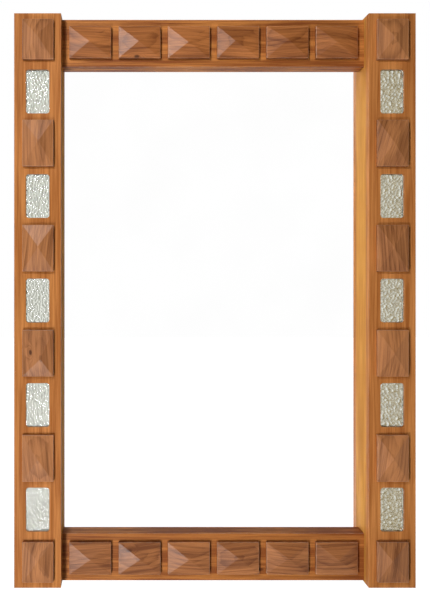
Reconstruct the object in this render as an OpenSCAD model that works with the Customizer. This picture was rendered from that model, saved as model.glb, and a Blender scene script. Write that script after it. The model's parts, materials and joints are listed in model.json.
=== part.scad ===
// Wall mirror with a carved-block frame.
// Two thick stiles carry diamond-pointed blocks and textured glass windows. Two thinner
// rails join them, set back and a little shorter than the stiles are long.
// The wall is the plane y = 0, the front faces -Y, X is to the right and Z is up.
// Every length is in millimetres.

/* [Frame] */
// Width over both stiles
frame_w = 870; // [820:5:960]
// Height of the stiles
frame_h = 1245; // [1190:5:1340]
// How far each stile runs past the rails at either end
stile_overrun = 3; // [1:1:12]

/* [Stiles] */
// Width of a stile
stile_w = 101.6; // [94:0.4:110]
// Thickness of the face board, which has the glass windows routed through it
face_board_t = 19; // [18:0.5:24]
// Thickness of the core board glued behind the face board
core_board_t = 44.5; // [40:0.5:56]

/* [Rails] */
// Height of a rail
rail_h = 104.5; // [98:0.5:120]
// Thickness of a rail
rail_t = 32; // [30:0.5:38]
// Length of the stub tenon at each end of a rail
tenon_l = 25; // [15:1:35]
// Thickness of the tenon
tenon_t = 12; // [8:0.5:14]
// Shoulder above and below the tenon
tenon_shoulder = 14; // [8:1:20]
// Room for glue round a tenon in its mortise
tenon_play = 0.1; // [0.05:0.05:0.3]
// Depth of the mortise past the end of its tenon
mortise_spare = 1; // [0.5:0.5:3]

/* [Diamond blocks] */
// Height of the square edge of a block
block_edge = 9.5; // [6:0.5:13]
// Rise of the point above that edge
block_rise = 9.5; // [6:0.5:14]
// Border of bare stile on each side of its blocks, were they in its middle
stile_block_border = 17.2; // [12:0.2:24]
// How far the blocks of a stile sit off its middle, towards the mirror
stile_block_shift = 1.6; // [0:0.2:3]
// Height of a block between two windows
stile_block_h = 100; // [85:1:112]
// Height of the block at each end of a stile
end_block_h = 87; // [72:1:98]
// Bare stile beyond an end block
end_border = 15.5; // [10:0.5:22]
// Bare stile between an end block and its window
end_gap = 19.5; // [14:0.5:24]
// Width of a block on a rail
rail_block_w = 92; // [80:1:102]
// Border of bare rail above and below its blocks
rail_block_border = 17; // [12:0.5:24]

/* [Glass windows] */
// Width of a window
window_w = 51; // [42:1:60]
// Height of a window
window_h = 95; // [84:1:106]
// Radius of the window's corners, left by the router
window_r = 6.35; // [3:0.05:9]
// Thickness of the wood round a window, in front of its silvered plate
window_lip = 8; // [7:0.5:9]
// How far the glass sits behind the face of the stile
glass_set_back = 3; // [1.5:0.5:4]
// Room round the glass in its window
glass_play = 0.3; // [0.2:0.1:0.6]
// Thickness of the silvered plate that the glass is cemented to
glass_backing_t = 3; // [2:0.5:3.5]
// How far the silvered plate laps behind the wood
backing_lap = 4.5; // [3:0.5:7]
// Room round the silvered plate in its pocket
backing_play = 0.5; // [0.25:0.25:1]

/* [Mirror] */
// Thickness of the mirror plate
mirror_t = 6; // [4:0.5:7]
// Thickness of the back board
back_board_t = 6; // [4:0.5:7]
// Width of the rabbet that takes the mirror
rabbet_w = 10; // [8:0.5:14]
// Room round the mirror in its rabbet
mirror_play = 1; // [0.5:0.25:2]
// Length of the two setting blocks that the mirror stands on
setting_block_l = 50; // [30:5:80]

/* [Retainer plates] */
// Plates along each stile
retainers_per_stile = 4; // [2:1:6]
// Plates along each rail
retainers_per_rail = 2; // [1:1:4]
// Length of a plate
retainer_l = 36; // [32:1:38]
// Width of a plate
retainer_w = 14; // [12:1:20]
// Thickness of a plate
retainer_t = 1.5; // [1:0.25:2]
// How far a plate reaches over the back board
retainer_lap = 13; // [8:1:16]

/* [Hangers] */
// Distance from the top of a stile down to the ring's pin
hanger_drop = 190; // [160:5:400]
// Width of a hanger strap
strap_w = 20; // [18:1:23]
// Length of a hanger strap below the pin
strap_l = 60; // [56:1:80]
// Thickness of the strap steel
strap_t = 1.6; // [1.2:0.1:2]
// Diameter of the ring's wire
ring_wire = 4; // [3:0.5:4.5]
// Width of the ring between the middles of its legs
ring_w = 26; // [25:1:34]
// Length of the ring's straight legs
ring_leg = 6; // [5:0.5:12]
// Running clearance of the ring in the strap's eye
ring_play = 0.05; // [0.03:0.01:0.1]
// Gap under the strap's eye, where it curls up off the wood
eye_lift = 0.1; // [0.05:0.05:0.3]
// Room between the folded ring and the screws on either side of its bow
ring_screw_gap = 1.4; // [1:0.1:2]
// Distance between the strap's two lower screws
strap_screw_pitch = 19; // [14:0.5:22]

/* [Bumpers] */
// Height of a rubber bumper, which is the gap between frame and wall
bumper_t = 8; // [7:0.5:14]
// Radius of a bumper at its base
bumper_r = 11; // [9:0.5:16]
// Thickness of the rubber under its screw's head
bumper_web = 3; // [2:0.5:4]
// Distance from a stile's end to the middle of its bumper
bumper_inset = 30; // [20:1:60]

/* [Screws] */
// Radius of the shank of every wood screw
screw_r = 1.75; // [1.5:0.05:2]
// Length of a screw's shank in the wood
screw_grip = 12; // [8:1:15]
// Radius of a screw's head
screw_head_r = 3.6; // [3.3:0.1:4]
// Height of a screw's head
screw_head_h = 2.2; // [1.8:0.1:2.4]
// Width of the slot in a screw's head
screw_slot_w = 0.9; // [0.6:0.1:1.2]
// Room round a screw's shank in the wood
pilot_play = 0.05; // [0.02:0.01:0.2]
// Room round a screw's shank in what it holds
screw_hole_play = 0.3; // [0.2:0.05:0.5]

/* [Hidden] */
$fn = 48;
cut = 1;

// Depths, from the wall forwards
back_y = -bumper_t;
core_y = back_y - core_board_t;
face_y = core_y - face_board_t;
rail_y = back_y - rail_t;
rabbet_d = mirror_t + back_board_t;
mirror_y = back_y - rabbet_d;
glass_y = face_y + glass_set_back;
glass_t = window_lip - glass_set_back;
glass_backing_y = face_y + window_lip;
pad_y = glass_backing_y + glass_backing_t;
pad_t = core_y - pad_y;

// Widths and heights
rail_l = frame_w - 2 * stile_w;
stile_x = (frame_w - stile_w) / 2;
rail_end_z = frame_h / 2 - stile_overrun;
sight_h = 2 * (rail_end_z - rail_h);
mirror_w = rail_l + 2 * (rabbet_w - mirror_play);
mirror_h = sight_h + 2 * (rabbet_w - mirror_play);
tenon_h = rail_h - rabbet_w - 2 * tenon_shoulder;
tenon_z = rail_end_z - tenon_shoulder - tenon_h / 2;
tenon_y = (rail_y + mirror_y) / 2;

// Places of the blocks and windows: a stile's gaps share out what its height leaves over
stile_gap = (frame_h - 2 * (end_border + end_block_h + end_gap)
    - 4 * stile_block_h - 5 * window_h) / 8;
stile_pitch = stile_block_h + window_h + 2 * stile_gap;
stile_block_w = stile_w - 2 * stile_block_border;
stile_block_x = stile_x - stile_block_shift;
rail_block_h = rail_h - 2 * rail_block_border;
rail_block_pitch = rail_block_w + (rail_l - 6 * rail_block_w) / 7;
window_zs = [for (i = [0:4]) (2 - i) * stile_pitch];
end_block_z = frame_h / 2 - end_border - end_block_h / 2;
stile_block_zs = [end_block_z, for (i = [0:3]) (1.5 - i) * stile_pitch, -end_block_z];
stile_block_hs = [end_block_h, for (i = [0:3]) stile_block_h, end_block_h];
rail_block_xs = [for (i = [0:5]) (i - 2.5) * rail_block_pitch];

// How far each block's hand-cut point lies off its middle, [to the right, up]
left_points = [[0, 4], [2, 3], [1, 3], [6, -12], [0, 0], [0, 5]];
right_points = [[1, 1], [-1, 0], [-1, 1], [0, 0], [-2, 1], [-5, 6]];
top_points = [[-2, -1], [-2, -1], [-2, -3], [-8, 0], [0, 3], [-2, -3]];
bottom_points = [[0, 0], [1, 1], [0, 0], [0, 4], [0, 3], [1, 0]];

// Places of the hardware: each retainer plate is [x, z, angle towards the frame's edge]
retainer_spots = concat(
    [for (side = [0, 180], i = [1:retainers_per_stile])
        [cos(side) * (rail_l / 2 + rabbet_w),
         (i - (retainers_per_stile + 1) / 2) * mirror_h / retainers_per_stile, side]],
    [for (side = [90, -90], i = [1:retainers_per_rail])
        [(i - (retainers_per_rail + 1) / 2) * rail_l / retainers_per_rail,
         sin(side) * (sight_h / 2 + rabbet_w), side]]);
retainer_screw_x = (retainer_l - retainer_lap) / 2;
eye_r = ring_wire / 2 + ring_play + strap_t;
pin_y = back_y + eye_r + eye_lift;
hanger_z = frame_h / 2 - hanger_drop;
ring_reach = ring_leg + ring_w / 2;
ring_screw_d = ring_wire / 2 + screw_head_r + ring_screw_gap;
strap_screw_zs = [ring_screw_d - ring_reach, -ring_screw_d - ring_reach,
                  -ring_screw_d - ring_reach - strap_screw_pitch];
bumper_recess_r = screw_head_r + 1;
bumper_spots = [for (x = [-1, 1], z = [-1, 1]) [x * stile_x, z * (frame_h / 2 - bumper_inset)]];

SIDES = ["left", "right"];
RAILS = ["top", "bottom"];

// Puts what is modelled for the left stile on the left or on the right
module on_side(side) mirror([side == "right" ? 1 : 0, 0, 0]) children();

// Puts what is modelled for the top rail at the top or at the bottom
module on_rail(rail) mirror([0, 0, rail == "bottom" ? 1 : 0]) children();

// A flat plate with round corners, standing in the XZ plane with its front at y = 0
module round_plate(w, h, t, r)
    rotate([-90, 0, 0]) linear_extrude(t) {
        square([w - 2 * r, h], center = true);
        square([w, h - 2 * r], center = true);
        for (x = [-1, 1], z = [-1, 1])
            translate([x * (w / 2 - r), z * (h / 2 - r)]) circle(r = r);
    }

// A bar of l along Z with a pitched front, w wide, rising towards -Y from y = 0 to its ridge
module gable(w, l, ridge_x)
    linear_extrude(l, center = true)
        polygon([[-w / 2, 0], [-w / 2, -block_edge], [ridge_x, -block_edge - block_rise],
                 [w / 2, -block_edge], [w / 2, 0]]);

// A diamond-pointed block standing on y = 0, with its point off the middle
module diamond_block(w, h, point)
    color("sienna") intersection() {
        gable(w, h, point[0]);
        rotate([0, 90, 0]) gable(h, w, -point[1]);
    }

// A wood screw along Y with its head on the wall side of y = 0
module screw(grip)
    difference() {
        rotate([-90, 0, 0]) rotate_extrude()
            polygon([[0, screw_head_h], [0.7 * screw_head_r, screw_head_h],
                     [screw_head_r, 0.45 * screw_head_h], [screw_head_r, 0], [screw_r, 0],
                     [screw_r, 1.5 * screw_r - grip], [0, -grip]]);
        translate([-screw_head_r - cut, screw_head_h / 2, -screw_slot_w / 2])
            cube([2 * (screw_head_r + cut), screw_head_h, screw_slot_w]);
    }

// The hole in the wood for a screw whose head side starts at y = 0
module pilot(grip)
    rotate([90, 0, 0]) translate([0, 0, -cut])
        cylinder(r = screw_r + pilot_play, h = grip + 2 * cut);

// The hole in a plate of thickness t lying on y = 0
module screw_hole(t)
    rotate([-90, 0, 0]) translate([0, 0, -cut])
        cylinder(r = screw_r + screw_hole_play, h = t + 2 * cut);

module at_windows()
    for (z = window_zs) translate([-stile_x, 0, z]) children();

module at_retainers()
    for (s = retainer_spots) translate([s[0], back_y, s[1]]) rotate([0, -s[2], 0]) children();

module at_strap_screws()
    for (z = strap_screw_zs) translate([-stile_x, back_y, hanger_z + z]) children();

module at_bumpers()
    for (s = bumper_spots) translate([s[0], back_y, s[1]]) children();

// Holes in the frame's back for the screws of the hardware
module back_pilots() {
    at_retainers() translate([retainer_screw_x, 0, 0]) pilot(screw_grip);
    at_bumpers() pilot(screw_grip);
    for (side = SIDES) on_side(side) at_strap_screws() pilot(screw_grip);
}

module face_board()
    color("peru") difference() {
        translate([-frame_w / 2, face_y, -frame_h / 2]) cube([stile_w, face_board_t, frame_h]);
        at_windows() translate([0, face_y - cut, 0])
            round_plate(window_w, window_h, window_lip + 2 * cut, window_r);
        at_windows() translate([0, glass_backing_y, 0])
            round_plate(window_w + 2 * (backing_lap + backing_play),
                        window_h + 2 * (backing_lap + backing_play),
                        face_board_t - window_lip + cut, window_r);
    }

module core_board()
    color("peru") difference() {
        translate([-frame_w / 2, core_y, -frame_h / 2]) cube([stile_w, core_board_t, frame_h]);
        // Rabbet for the mirror
        translate([-rail_l / 2 - rabbet_w, mirror_y, -sight_h / 2 - rabbet_w])
            cube([rabbet_w + cut, rabbet_d + cut, sight_h + 2 * rabbet_w]);
        // Mortises for the rails' tenons
        for (z = [-1, 1])
            translate([-rail_l / 2 - tenon_l - mortise_spare, tenon_y - tenon_t / 2 - tenon_play,
                       z * tenon_z - tenon_h / 2 - tenon_play])
                cube([tenon_l + mortise_spare + cut, tenon_t + 2 * tenon_play,
                      tenon_h + 2 * tenon_play]);
        back_pilots();
    }

module rail()
    color("peru") difference() {
        union() {
            translate([-rail_l / 2, rail_y, rail_end_z - rail_h]) cube([rail_l, rail_t, rail_h]);
            translate([-rail_l / 2 - tenon_l, tenon_y - tenon_t / 2, tenon_z - tenon_h / 2])
                cube([rail_l + 2 * tenon_l, tenon_t, tenon_h]);
        }
        // Rabbet for the mirror
        translate([-rail_l / 2 - cut, mirror_y, sight_h / 2 - cut])
            cube([rail_l + 2 * cut, rabbet_d + cut, rabbet_w + cut]);
        back_pilots();
    }

module stile_block(side, i)
    translate([side == "left" ? -stile_block_x : stile_block_x, face_y, stile_block_zs[i - 1]])
        diamond_block(stile_block_w, stile_block_hs[i - 1],
                      side == "left" ? left_points[i - 1] : right_points[i - 1]);

module rail_block(rail, i)
    translate([rail_block_xs[i - 1], rail_y,
               (rail == "top" ? 1 : -1) * (rail_end_z - rail_h / 2)])
        diamond_block(rail_block_w, rail_block_h,
                      rail == "top" ? top_points[i - 1] : bottom_points[i - 1]);

module window_glass(i)
    color("lightgray") translate([-stile_x, glass_y, window_zs[i - 1]])
        round_plate(window_w - 2 * glass_play, window_h - 2 * glass_play, glass_t,
                    window_r - glass_play);

// One of the two flat layers in the pocket behind a window
module pocket_layer(y, t)
    translate([0, y, 0])
        round_plate(window_w + 2 * backing_lap, window_h + 2 * backing_lap, t, window_r);

module glass_backings()
    color("silver") at_windows() pocket_layer(glass_backing_y, glass_backing_t);

module glass_pads()
    color("burlywood") for (side = SIDES) on_side(side) at_windows() pocket_layer(pad_y, pad_t);

module mirror_plate()
    color("aliceblue") translate([-mirror_w / 2, mirror_y, -mirror_h / 2])
        cube([mirror_w, mirror_t, mirror_h]);

module setting_blocks()
    color("dimgray") for (x = [-1, 1])
        translate([x * mirror_w / 4 - setting_block_l / 2, mirror_y, -mirror_h / 2 - mirror_play])
            cube([setting_block_l, mirror_t, mirror_play]);

module back_board()
    color("tan") translate([-mirror_w / 2, mirror_y + mirror_t, -mirror_h / 2])
        cube([mirror_w, back_board_t, mirror_h]);

module retainer_plates()
    color("gainsboro") at_retainers() difference() {
        translate([retainer_l / 2 - retainer_lap, 0, 0])
            round_plate(retainer_l, retainer_w, retainer_t, retainer_w / 4);
        translate([retainer_screw_x, 0, 0]) screw_hole(retainer_t);
    }

module retainer_screws()
    color("gainsboro") at_retainers() translate([retainer_screw_x, retainer_t, 0])
        screw(screw_grip + retainer_t);

module hanger_strap()
    color("silver") difference() {
        translate([-stile_x, 0, hanger_z]) difference() {
            union() {
                translate([-strap_w / 2, back_y, strap_w / 2 - strap_l])
                    cube([strap_w, strap_t, strap_l - strap_w / 2]);
                translate([0, back_y, strap_w / 2 - strap_l]) rotate([-90, 0, 0])
                    cylinder(r = strap_w / 2, h = strap_t);
                translate([-strap_w / 2, pin_y, 0]) rotate([0, 90, 0])
                    cylinder(r = eye_r, h = strap_w);
            }
            translate([-strap_w / 2 - cut, pin_y, 0]) rotate([0, 90, 0])
                cylinder(r = ring_wire / 2 + ring_play, h = strap_w + 2 * cut);
        }
        at_strap_screws() screw_hole(strap_t);
    }

module hanger_ring()
    color("silver") translate([-stile_x, pin_y, hanger_z]) {
        rotate([0, 90, 0]) cylinder(r = ring_wire / 2, h = ring_w, center = true);
        for (x = [-1, 1]) translate([x * ring_w / 2, 0, 0]) {
            sphere(r = ring_wire / 2);
            cylinder(r = ring_wire / 2, h = ring_leg);
        }
        translate([0, 0, ring_leg]) rotate([90, 0, 0]) rotate_extrude(angle = 180)
            translate([ring_w / 2, 0]) circle(r = ring_wire / 2);
    }

module hanger_screws()
    color("gainsboro") for (side = SIDES) on_side(side)
        at_strap_screws() translate([0, strap_t, 0]) screw(screw_grip + strap_t);

module wall_bumpers()
    color("dimgray") at_bumpers() rotate([-90, 0, 0]) rotate_extrude()
        polygon([[screw_r + screw_hole_play, 0], [bumper_r, 0], [0.85 * bumper_r, bumper_t],
                 [bumper_recess_r, bumper_t], [bumper_recess_r, bumper_web],
                 [screw_r + screw_hole_play, bumper_web]]);

module bumper_screws()
    color("gainsboro") at_bumpers() translate([0, bumper_web, 0]) screw(screw_grip + bumper_web);

for (s = SIDES) {
    on_side(s) face_board();
    on_side(s) core_board();
    for (i = [1:6])
        stile_block(s, i);
    for (i = [1:5])
        on_side(s) window_glass(i);
    on_side(s) glass_backings();
    on_side(s) hanger_strap();
    on_side(s) hanger_ring();
}
for (r = RAILS) {
    on_rail(r) rail();
    for (i = [1:6])
        rail_block(r, i);
}
glass_pads();
mirror_plate();
setting_blocks();
back_board();
retainer_plates();
retainer_screws();
hanger_screws();
wall_bumpers();
bumper_screws();
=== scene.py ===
import json
import math
import random

import bmesh
import bpy
import numpy as np
from bpy.props import FloatProperty, FloatVectorProperty, IntProperty, PointerProperty
from mathutils import Matrix, Vector

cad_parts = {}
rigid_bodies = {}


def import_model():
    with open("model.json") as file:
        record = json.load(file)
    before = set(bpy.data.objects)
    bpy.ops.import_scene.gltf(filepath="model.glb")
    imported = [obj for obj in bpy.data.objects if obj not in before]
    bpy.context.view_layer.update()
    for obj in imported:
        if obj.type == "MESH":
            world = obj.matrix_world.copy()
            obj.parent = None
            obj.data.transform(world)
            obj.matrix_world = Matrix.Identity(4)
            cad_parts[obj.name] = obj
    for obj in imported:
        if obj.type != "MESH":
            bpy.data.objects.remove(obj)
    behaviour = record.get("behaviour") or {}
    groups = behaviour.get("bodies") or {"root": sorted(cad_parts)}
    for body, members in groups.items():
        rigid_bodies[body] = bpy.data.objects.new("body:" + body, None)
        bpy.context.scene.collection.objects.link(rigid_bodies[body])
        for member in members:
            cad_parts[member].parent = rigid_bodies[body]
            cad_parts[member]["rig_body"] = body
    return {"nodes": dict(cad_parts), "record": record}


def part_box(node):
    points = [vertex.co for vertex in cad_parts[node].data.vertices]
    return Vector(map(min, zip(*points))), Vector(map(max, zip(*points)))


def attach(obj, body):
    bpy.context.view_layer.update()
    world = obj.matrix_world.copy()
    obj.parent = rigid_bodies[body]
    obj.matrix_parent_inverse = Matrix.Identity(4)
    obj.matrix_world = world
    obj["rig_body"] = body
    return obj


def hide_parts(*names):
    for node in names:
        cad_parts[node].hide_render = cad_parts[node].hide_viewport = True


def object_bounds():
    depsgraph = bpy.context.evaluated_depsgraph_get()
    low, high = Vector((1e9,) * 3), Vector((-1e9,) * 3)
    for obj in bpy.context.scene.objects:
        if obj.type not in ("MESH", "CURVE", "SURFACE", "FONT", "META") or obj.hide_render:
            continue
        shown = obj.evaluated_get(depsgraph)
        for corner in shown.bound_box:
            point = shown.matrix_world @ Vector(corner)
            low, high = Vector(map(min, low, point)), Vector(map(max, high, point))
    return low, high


# Finishes a packed wall mirror: sawn and oiled boards, walnut blocks cut to a point, hammered
# glass over silvered plates, the mirror plate, and the hardware behind it. All lengths are metres.

bl_info = {
    "name": "Wall Mirror",
    "version": (1, 0, 0),
    "blender": (4, 5, 0),
    "location": "3D View > Sidebar > Wall Mirror",
    "description": "Finishes the wood, glass and hardware of a wall mirror with applied blocks",
    "category": "Object",
}

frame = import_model()
cad_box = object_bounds()

SIDES = ("left", "right")
SLOTS = {part["node"]: part["material_slot"] for part in frame["record"]["subparts"]}

# Corners of a copied mesh closer than this are one, and faces flatter than this are one face
SAME_PLACE = 1e-6
SAME_PLANE = math.radians(0.5)
# An edge sharper than this is rounded over, or keeps its crease in a smooth piece
SHARP = math.radians(30)
# Profile of a rounded edge: 0.5 is a plain round, and more is fuller
FULLNESS = 0.6
# A face is square to an axis if its normal's part along it is more than this
SQUARE_ON = 0.99

# The wood's figure, in lumps a metre across, through and along the grain
HEART_DRIFT = (7.0, 7.0, 2.2)
RING_WOBBLE = (70.0, 70.0, 6.0)
BROAD_STREAKS = (230.0, 50.0, 4.0)
FINE_STREAKS = (800.0, 120.0, 12.0)
BROAD_BANDS = (48.0, 48.0, 4.0)
PORE_DASHES = (2300.0, 2300.0, 130.0)
# One over a knot's reach in metres, in the same directions
KNOT_SHAPE = (130.0, 0.0, 70.0)
# The knot of a piece without one lies here
FAR_AWAY = (50.0, 50.0, 50.0)
# How far apart in the noise two seeds take their bumps
SEED_STEP = 13.7
# Years' growth that the rings wobble by, and that a knot pushes them aside by
WOBBLE_YEARS, KNOT_YEARS = 0.9, 3.2
# Wood darkens with the first power of the year gone by, and is pale again with the second
LATE_WOOD, YEAR_END = 2.6, 22.0
# Share of the dark wood's colour in plain wood, in a pore, and in a step of tone
PLAIN_SHARE, PORE_SHARE, TONE_SHARE = 0.12, 0.5, 0.35
# What a knot multiplies that colour by
KNOT_DARKNESS = 0.55
# Heights of the wood's surface, the pores' and rings' as shares of it
GRAIN_HEIGHT = 0.00012
STREAK_RELIEF, RING_RELIEF, PORE_RELIEF = 0.6, -0.5, -0.8
# What daylight multiplies the red, green and blue of faded walnut by
DAYLIGHT = (1.0, 1.13, 1.42)
# What a rounded arris adds to the wood's colour, partly for wearing and partly as a painted highlight,
# and how much smoother it is
WEAR_AND_HIGHLIGHT_COLOUR, WORN_SMOOTHING = (0.42, 0.36, 0.30), 0.12


def length_property(name, description, value, least, most, precision=5):
    """A length in metres that a user can change"""
    return FloatProperty(name=name, description=description, default=value, min=least, max=most,
                         unit="LENGTH", precision=precision)


def colour_property(name, description, value):
    """A colour that a user can change, given as linear red, green and blue"""
    return FloatVectorProperty(name=name, description=description, default=value, size=3,
                               subtype="COLOR", min=0.0, max=1.0)


class MirrorSizes(bpy.types.PropertyGroup):
    """Sizes of the finish, which leave the construction as it is"""

    arris: length_property(
        "Wood Arris", "Rounding of the boards' and the plate's long edges", 0.0008, 0.0002, 0.003)
    block_arris: length_property(
        "Block Arris", "Rounding of the edges round each walnut block", 0.0009, 0.0002, 0.003)
    glue_line: length_property(
        "Glue Line", "Easing of the edges at the stiles' glue line, and of the back board's",
        0.0002, 0.0001, 0.001)
    steel_edge: length_property(
        "Steel Edge", "Rounding of the straps', plates', pads' and screws' edges",
        0.00025, 0.0001, 0.0006)
    rubber_edge: length_property(
        "Rubber Edge", "Rounding of the bumpers' edges", 0.0006, 0.0002, 0.0015)
    hammer_pitch: length_property(
        "Hammer Pitch", "Distance between the bumps of the hammered glass", 0.0048, 0.002, 0.02)
    hammer_depth: length_property(
        "Hammer Depth", "How deep the glass falls away between its bumps", 0.0013, 0.0001, 0.004)
    glass_step: length_property(
        "Glass Step", "Spacing of the hammered surface's points", 0.0005, 0.0004, 0.004)
    glass_corner: length_property(
        "Glass Corner", "Radius of the window glasses' corners", 0.00605, 0.001, 0.02)
    glass_rim: length_property(
        "Glass Rim", "Rounding of the window glasses' front edges", 0.0012, 0.0002, 0.003)
    glass_rest: length_property(
        "Glass Rest", "Gap between a window glass and its silvered plate", 0.0001, 0.00002, 0.0005)
    ring_spacing: length_property(
        "Frame Rings", "Width of a year's growth in the frame's boards", 0.0060, 0.001, 0.02)
    walnut_rings: length_property(
        "Walnut Rings", "Width of a year's growth in the walnut blocks", 0.0072, 0.001, 0.02)
    birch_rings: length_property(
        "Birch Rings", "Width of a year's growth in the back board's face", 0.009, 0.001, 0.02)
    lamp_size: length_property(
        "Lamp Size", "Side of each square studio lamp", 0.30, 0.1, 2.0, precision=2)
    floor_drop: length_property(
        "Floor Drop", "How far below the frame the floor lies, as it hangs on its wall",
        0.75, 0.0, 3.0, precision=2)
    lamp_power: FloatProperty(
        name="Lamp Power", description="Power of each studio lamp",
        default=5.7, min=0.0, max=200.0, unit="POWER")
    seed: IntProperty(
        name="Seed", description="Picks the figure of the wood, the hammering and the screws' turns",
        default=7, min=0, max=999)


class MirrorColours(bpy.types.PropertyGroup):
    """Colours of the finishes"""

    stile_pale: colour_property("Stile Pale", "Early wood of the face boards", (0.665, 0.268, 0.076))
    stile_dark: colour_property("Stile Dark", "Late wood of the face boards", (0.36, 0.115, 0.026))
    rail_pale: colour_property("Rail Pale", "Early wood of the rails", (0.66, 0.255, 0.060))
    rail_dark: colour_property("Rail Dark", "Late wood of the rails", (0.24, 0.066, 0.014))
    core_pale: colour_property("Core Pale", "Early wood of the core boards", (0.74, 0.37, 0.088))
    core_dark: colour_property("Core Dark", "Late wood of the core boards", (0.48, 0.19, 0.036))
    walnut_pale: colour_property("Walnut Pale", "Early wood of the blocks", (0.51, 0.183, 0.052))
    walnut_dark: colour_property("Walnut Dark", "Late wood of the blocks", (0.16, 0.044, 0.010))
    glass_tint: colour_property("Glass Tint", "Colour of the hammered glass", (0.975, 0.98, 0.96))
    silver: colour_property("Silver", "Silvered plates behind the windows", (0.87, 0.88, 0.84))
    mirror: colour_property("Mirror", "Silvering of the mirror plate", (1.0, 1.0, 1.0))
    glass_edge: colour_property("Glass Edge", "Ground edges of the mirror plate", (0.16, 0.33, 0.26))
    backing: colour_property("Backing Paint", "Paint on the mirror plate's back", (0.20, 0.21, 0.22))
    birch_pale: colour_property("Birch Pale", "Early wood of the back board", (0.66, 0.50, 0.32))
    birch_dark: colour_property("Birch Dark", "Late wood of the back board", (0.46, 0.31, 0.17))
    card: colour_property("Card", "Pads behind the window glasses", (0.36, 0.26, 0.15))
    rubber: colour_property("Rubber", "Bumpers and setting blocks", (0.018, 0.018, 0.019))
    zinc: colour_property("Zinc", "Plating of the steel hardware", (0.62, 0.62, 0.60))
    floor: colour_property("Floor", "Studio floor", (0.86, 0.86, 0.86))


def sizes():
    return bpy.context.scene.mirror_sizes


def colours():
    return bpy.context.scene.mirror_colours


# Node trees

def put(tree, kind, values=None, **settings):
    """Adds a node, and sets its inputs, by name or number, to values or to other nodes' outputs"""
    node = tree.nodes.new(kind)
    for name, value in settings.items():
        setattr(node, name, value)
    for key, value in (values or {}).items():
        if isinstance(value, bpy.types.NodeSocket):
            tree.links.new(value, node.inputs[key])
        else:
            node.inputs[key].default_value = value
    return node


def maths(tree, operation, *terms):
    return put(tree, "ShaderNodeMath", dict(enumerate(terms)), operation=operation).outputs[0]


def vectors(tree, operation, *terms):
    node = put(tree, "ShaderNodeVectorMath", dict(enumerate(terms)), operation=operation)
    return node.outputs["Value" if operation in ("DOT_PRODUCT", "LENGTH") else "Vector"]


def scaled(tree, vector, factor):
    """A vector or a colour times a number"""
    node = put(tree, "ShaderNodeVectorMath", {0: vector, "Scale": factor}, operation="SCALE")
    return node.outputs["Vector"]


def shade(colour, factor):
    """A colour made darker, or paler up to white"""
    return tuple(min(1.0, factor * x) for x in colour)


def fade(tree, value, start, end, low=0.0, high=1.0):
    """Goes smoothly from low to high as value goes from start to end"""
    return put(tree, "ShaderNodeMapRange", {0: value, 1: start, 2: end, 3: low, 4: high},
               interpolation_type="SMOOTHSTEP").outputs[0]


def blend(tree, share, first, second, kind="MIX"):
    """Mixes two colours"""
    first, second = (x if isinstance(x, bpy.types.NodeSocket) else (*x, 1.0) for x in (first, second))
    return put(tree, "ShaderNodeMix", {0: share, 6: first, 7: second},
               data_type="RGBA", blend_type=kind).outputs[2]


def clouds(tree, place, lumps, detail=2.0, roughness=0.5, output=0):
    """Noise with so many lumps a metre, the same every way or given for each axis. Output 0 is
    its value, and output 1 its colour"""
    stretch = (lumps,) * 3 if isinstance(lumps, float) else lumps
    spread = vectors(tree, "MULTIPLY", place, stretch)
    node = put(tree, "ShaderNodeTexNoise",
               {"Vector": spread, "Scale": 1.0, "Detail": detail, "Roughness": roughness})
    return node.outputs[output]


def own(tree, name, output="Fac"):
    """What the script wrote on the piece's mesh under this name"""
    return put(tree, "ShaderNodeAttribute", attribute_name=name).outputs[output]


def new_tree(name, kind, inputs, outputs):
    """A node tree with named inputs and outputs. A socket is given as the number it starts with,
    or as its type"""
    tree = bpy.data.node_groups.new(name, kind)
    for way, sockets in (("INPUT", inputs), ("OUTPUT", outputs)):
        for label, given in sockets.items():
            sort = {int: "Int", float: "Float"}.get(type(given), given)
            socket = tree.interface.new_socket(
                label.replace("_", " "), in_out=way, socket_type=f"NodeSocket{sort}")
            if sort != given:
                socket.default_value = given
    given = tree.nodes.new("NodeGroupInput").outputs
    return tree, given, tree.nodes.new("NodeGroupOutput").inputs


def give(tree, made, **outputs):
    """Links what a node tree makes to its named outputs, and returns the tree"""
    for name, output in outputs.items():
        tree.links.new(output, made[name])
    return tree


def built_once(build):
    """The node tree or material that a function builds is made once and then looked up"""
    kept = {}

    def get(*values):
        if values not in kept:
            kept[values] = build(*values)
        return kept[values]

    get.__doc__ = build.__doc__
    return get


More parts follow.
